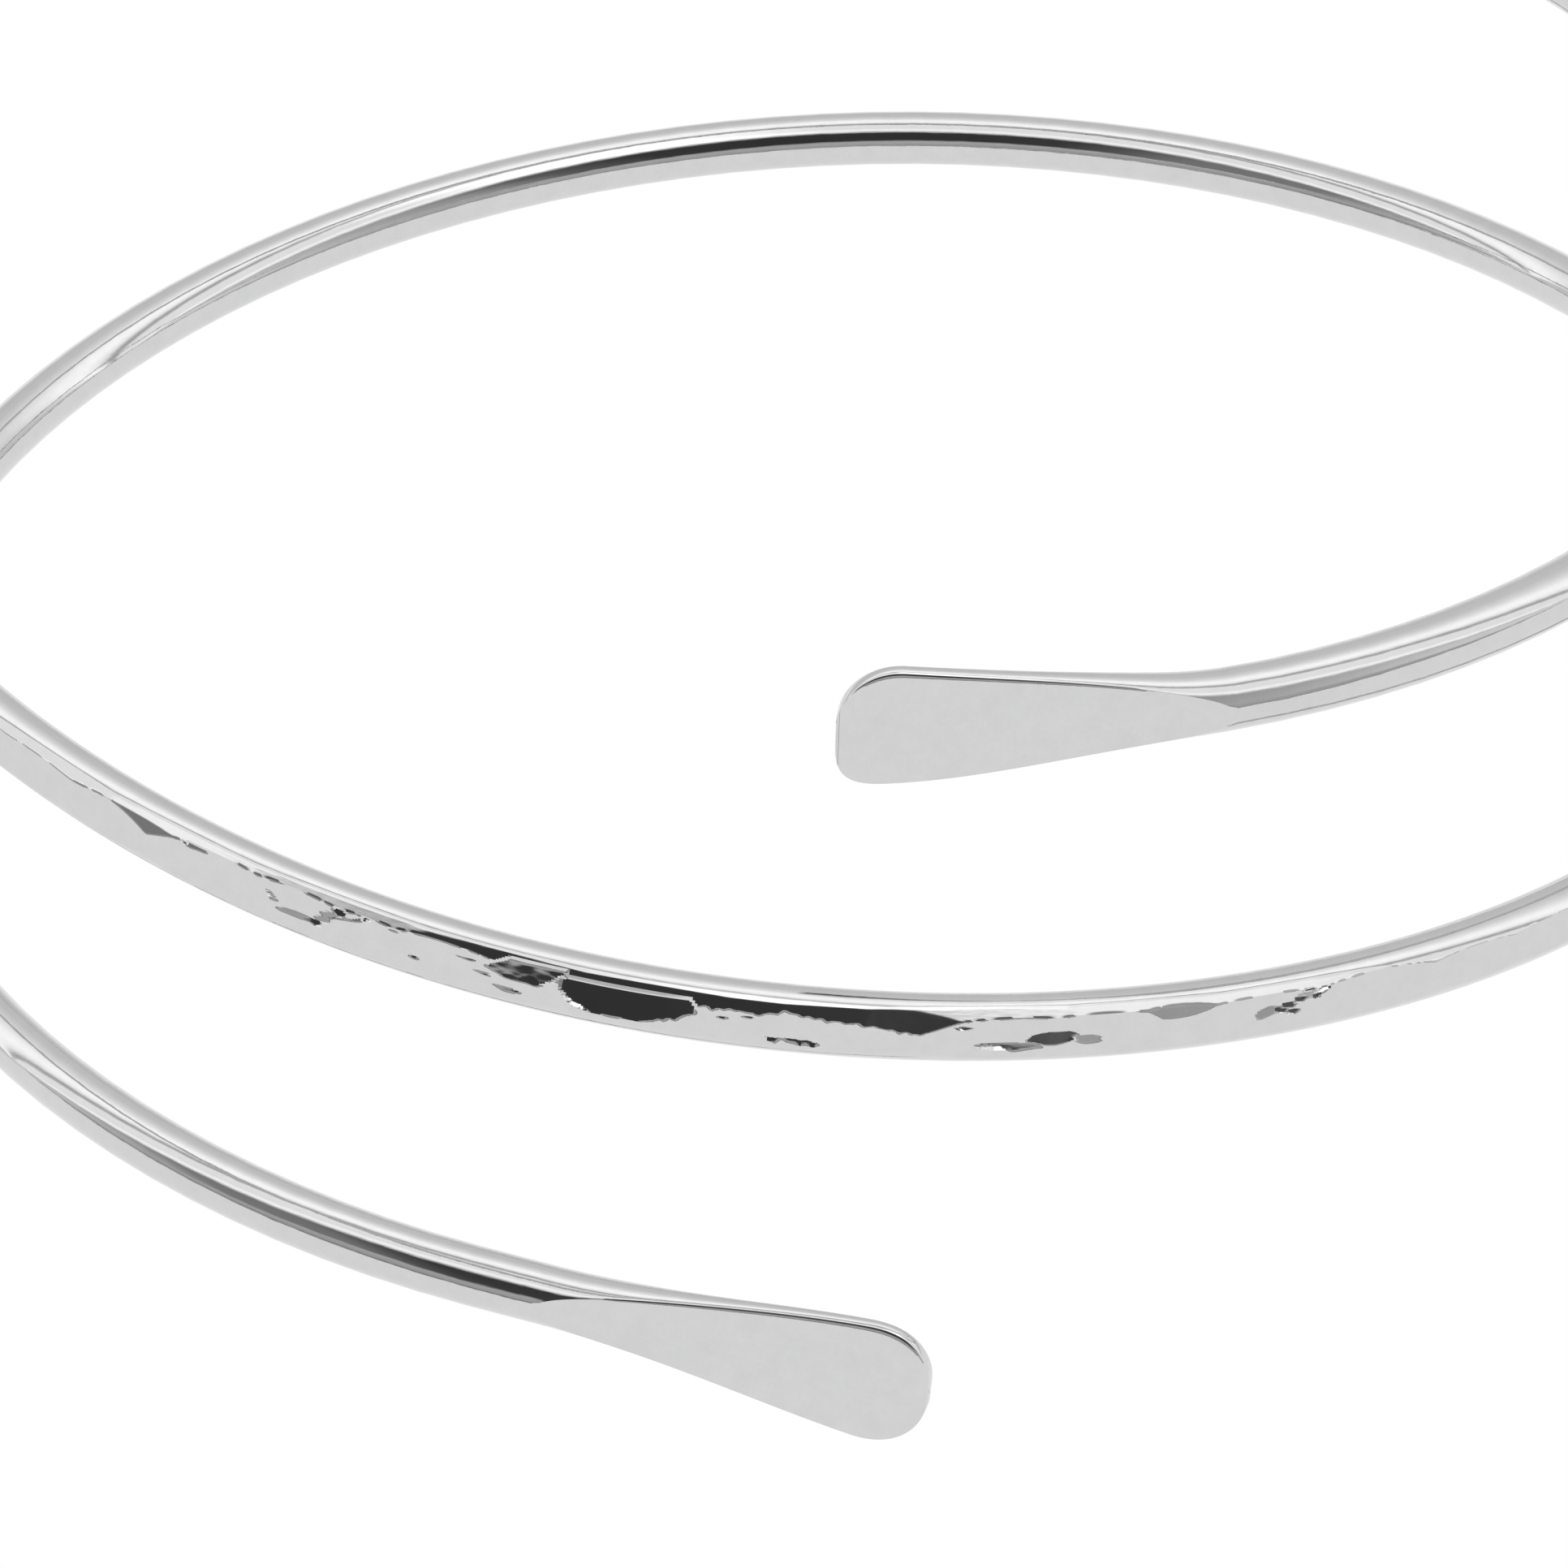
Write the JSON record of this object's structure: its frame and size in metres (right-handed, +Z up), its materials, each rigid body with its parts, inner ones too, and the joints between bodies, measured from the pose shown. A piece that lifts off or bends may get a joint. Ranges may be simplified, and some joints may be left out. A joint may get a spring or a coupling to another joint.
{
  "type": "upper arm cuff",
  "caption": "Open coil of round metal wire with flattened blade ends and a hammered front strand, worn round the upper arm.",
  "frame": {"origin": "on the floor, below the middle of the cuff's overall box", "axes": "+Z up, close to the axis of the coil; -Y is the front, where the two blades and the hammered strand are; +X is to the right seen from the front. The coil climbs clockwise seen from above."},
  "size_m": [0.088, 0.0896, 0.0326],
  "materials": {
    "polished_silver": "mirror-polished silver with fine scratches; the outer face of the middle strand is hammered"
  },
  "bodies": {
    "root": {"arm_cuff": "polished_silver"}
  },
  "joints": []
}
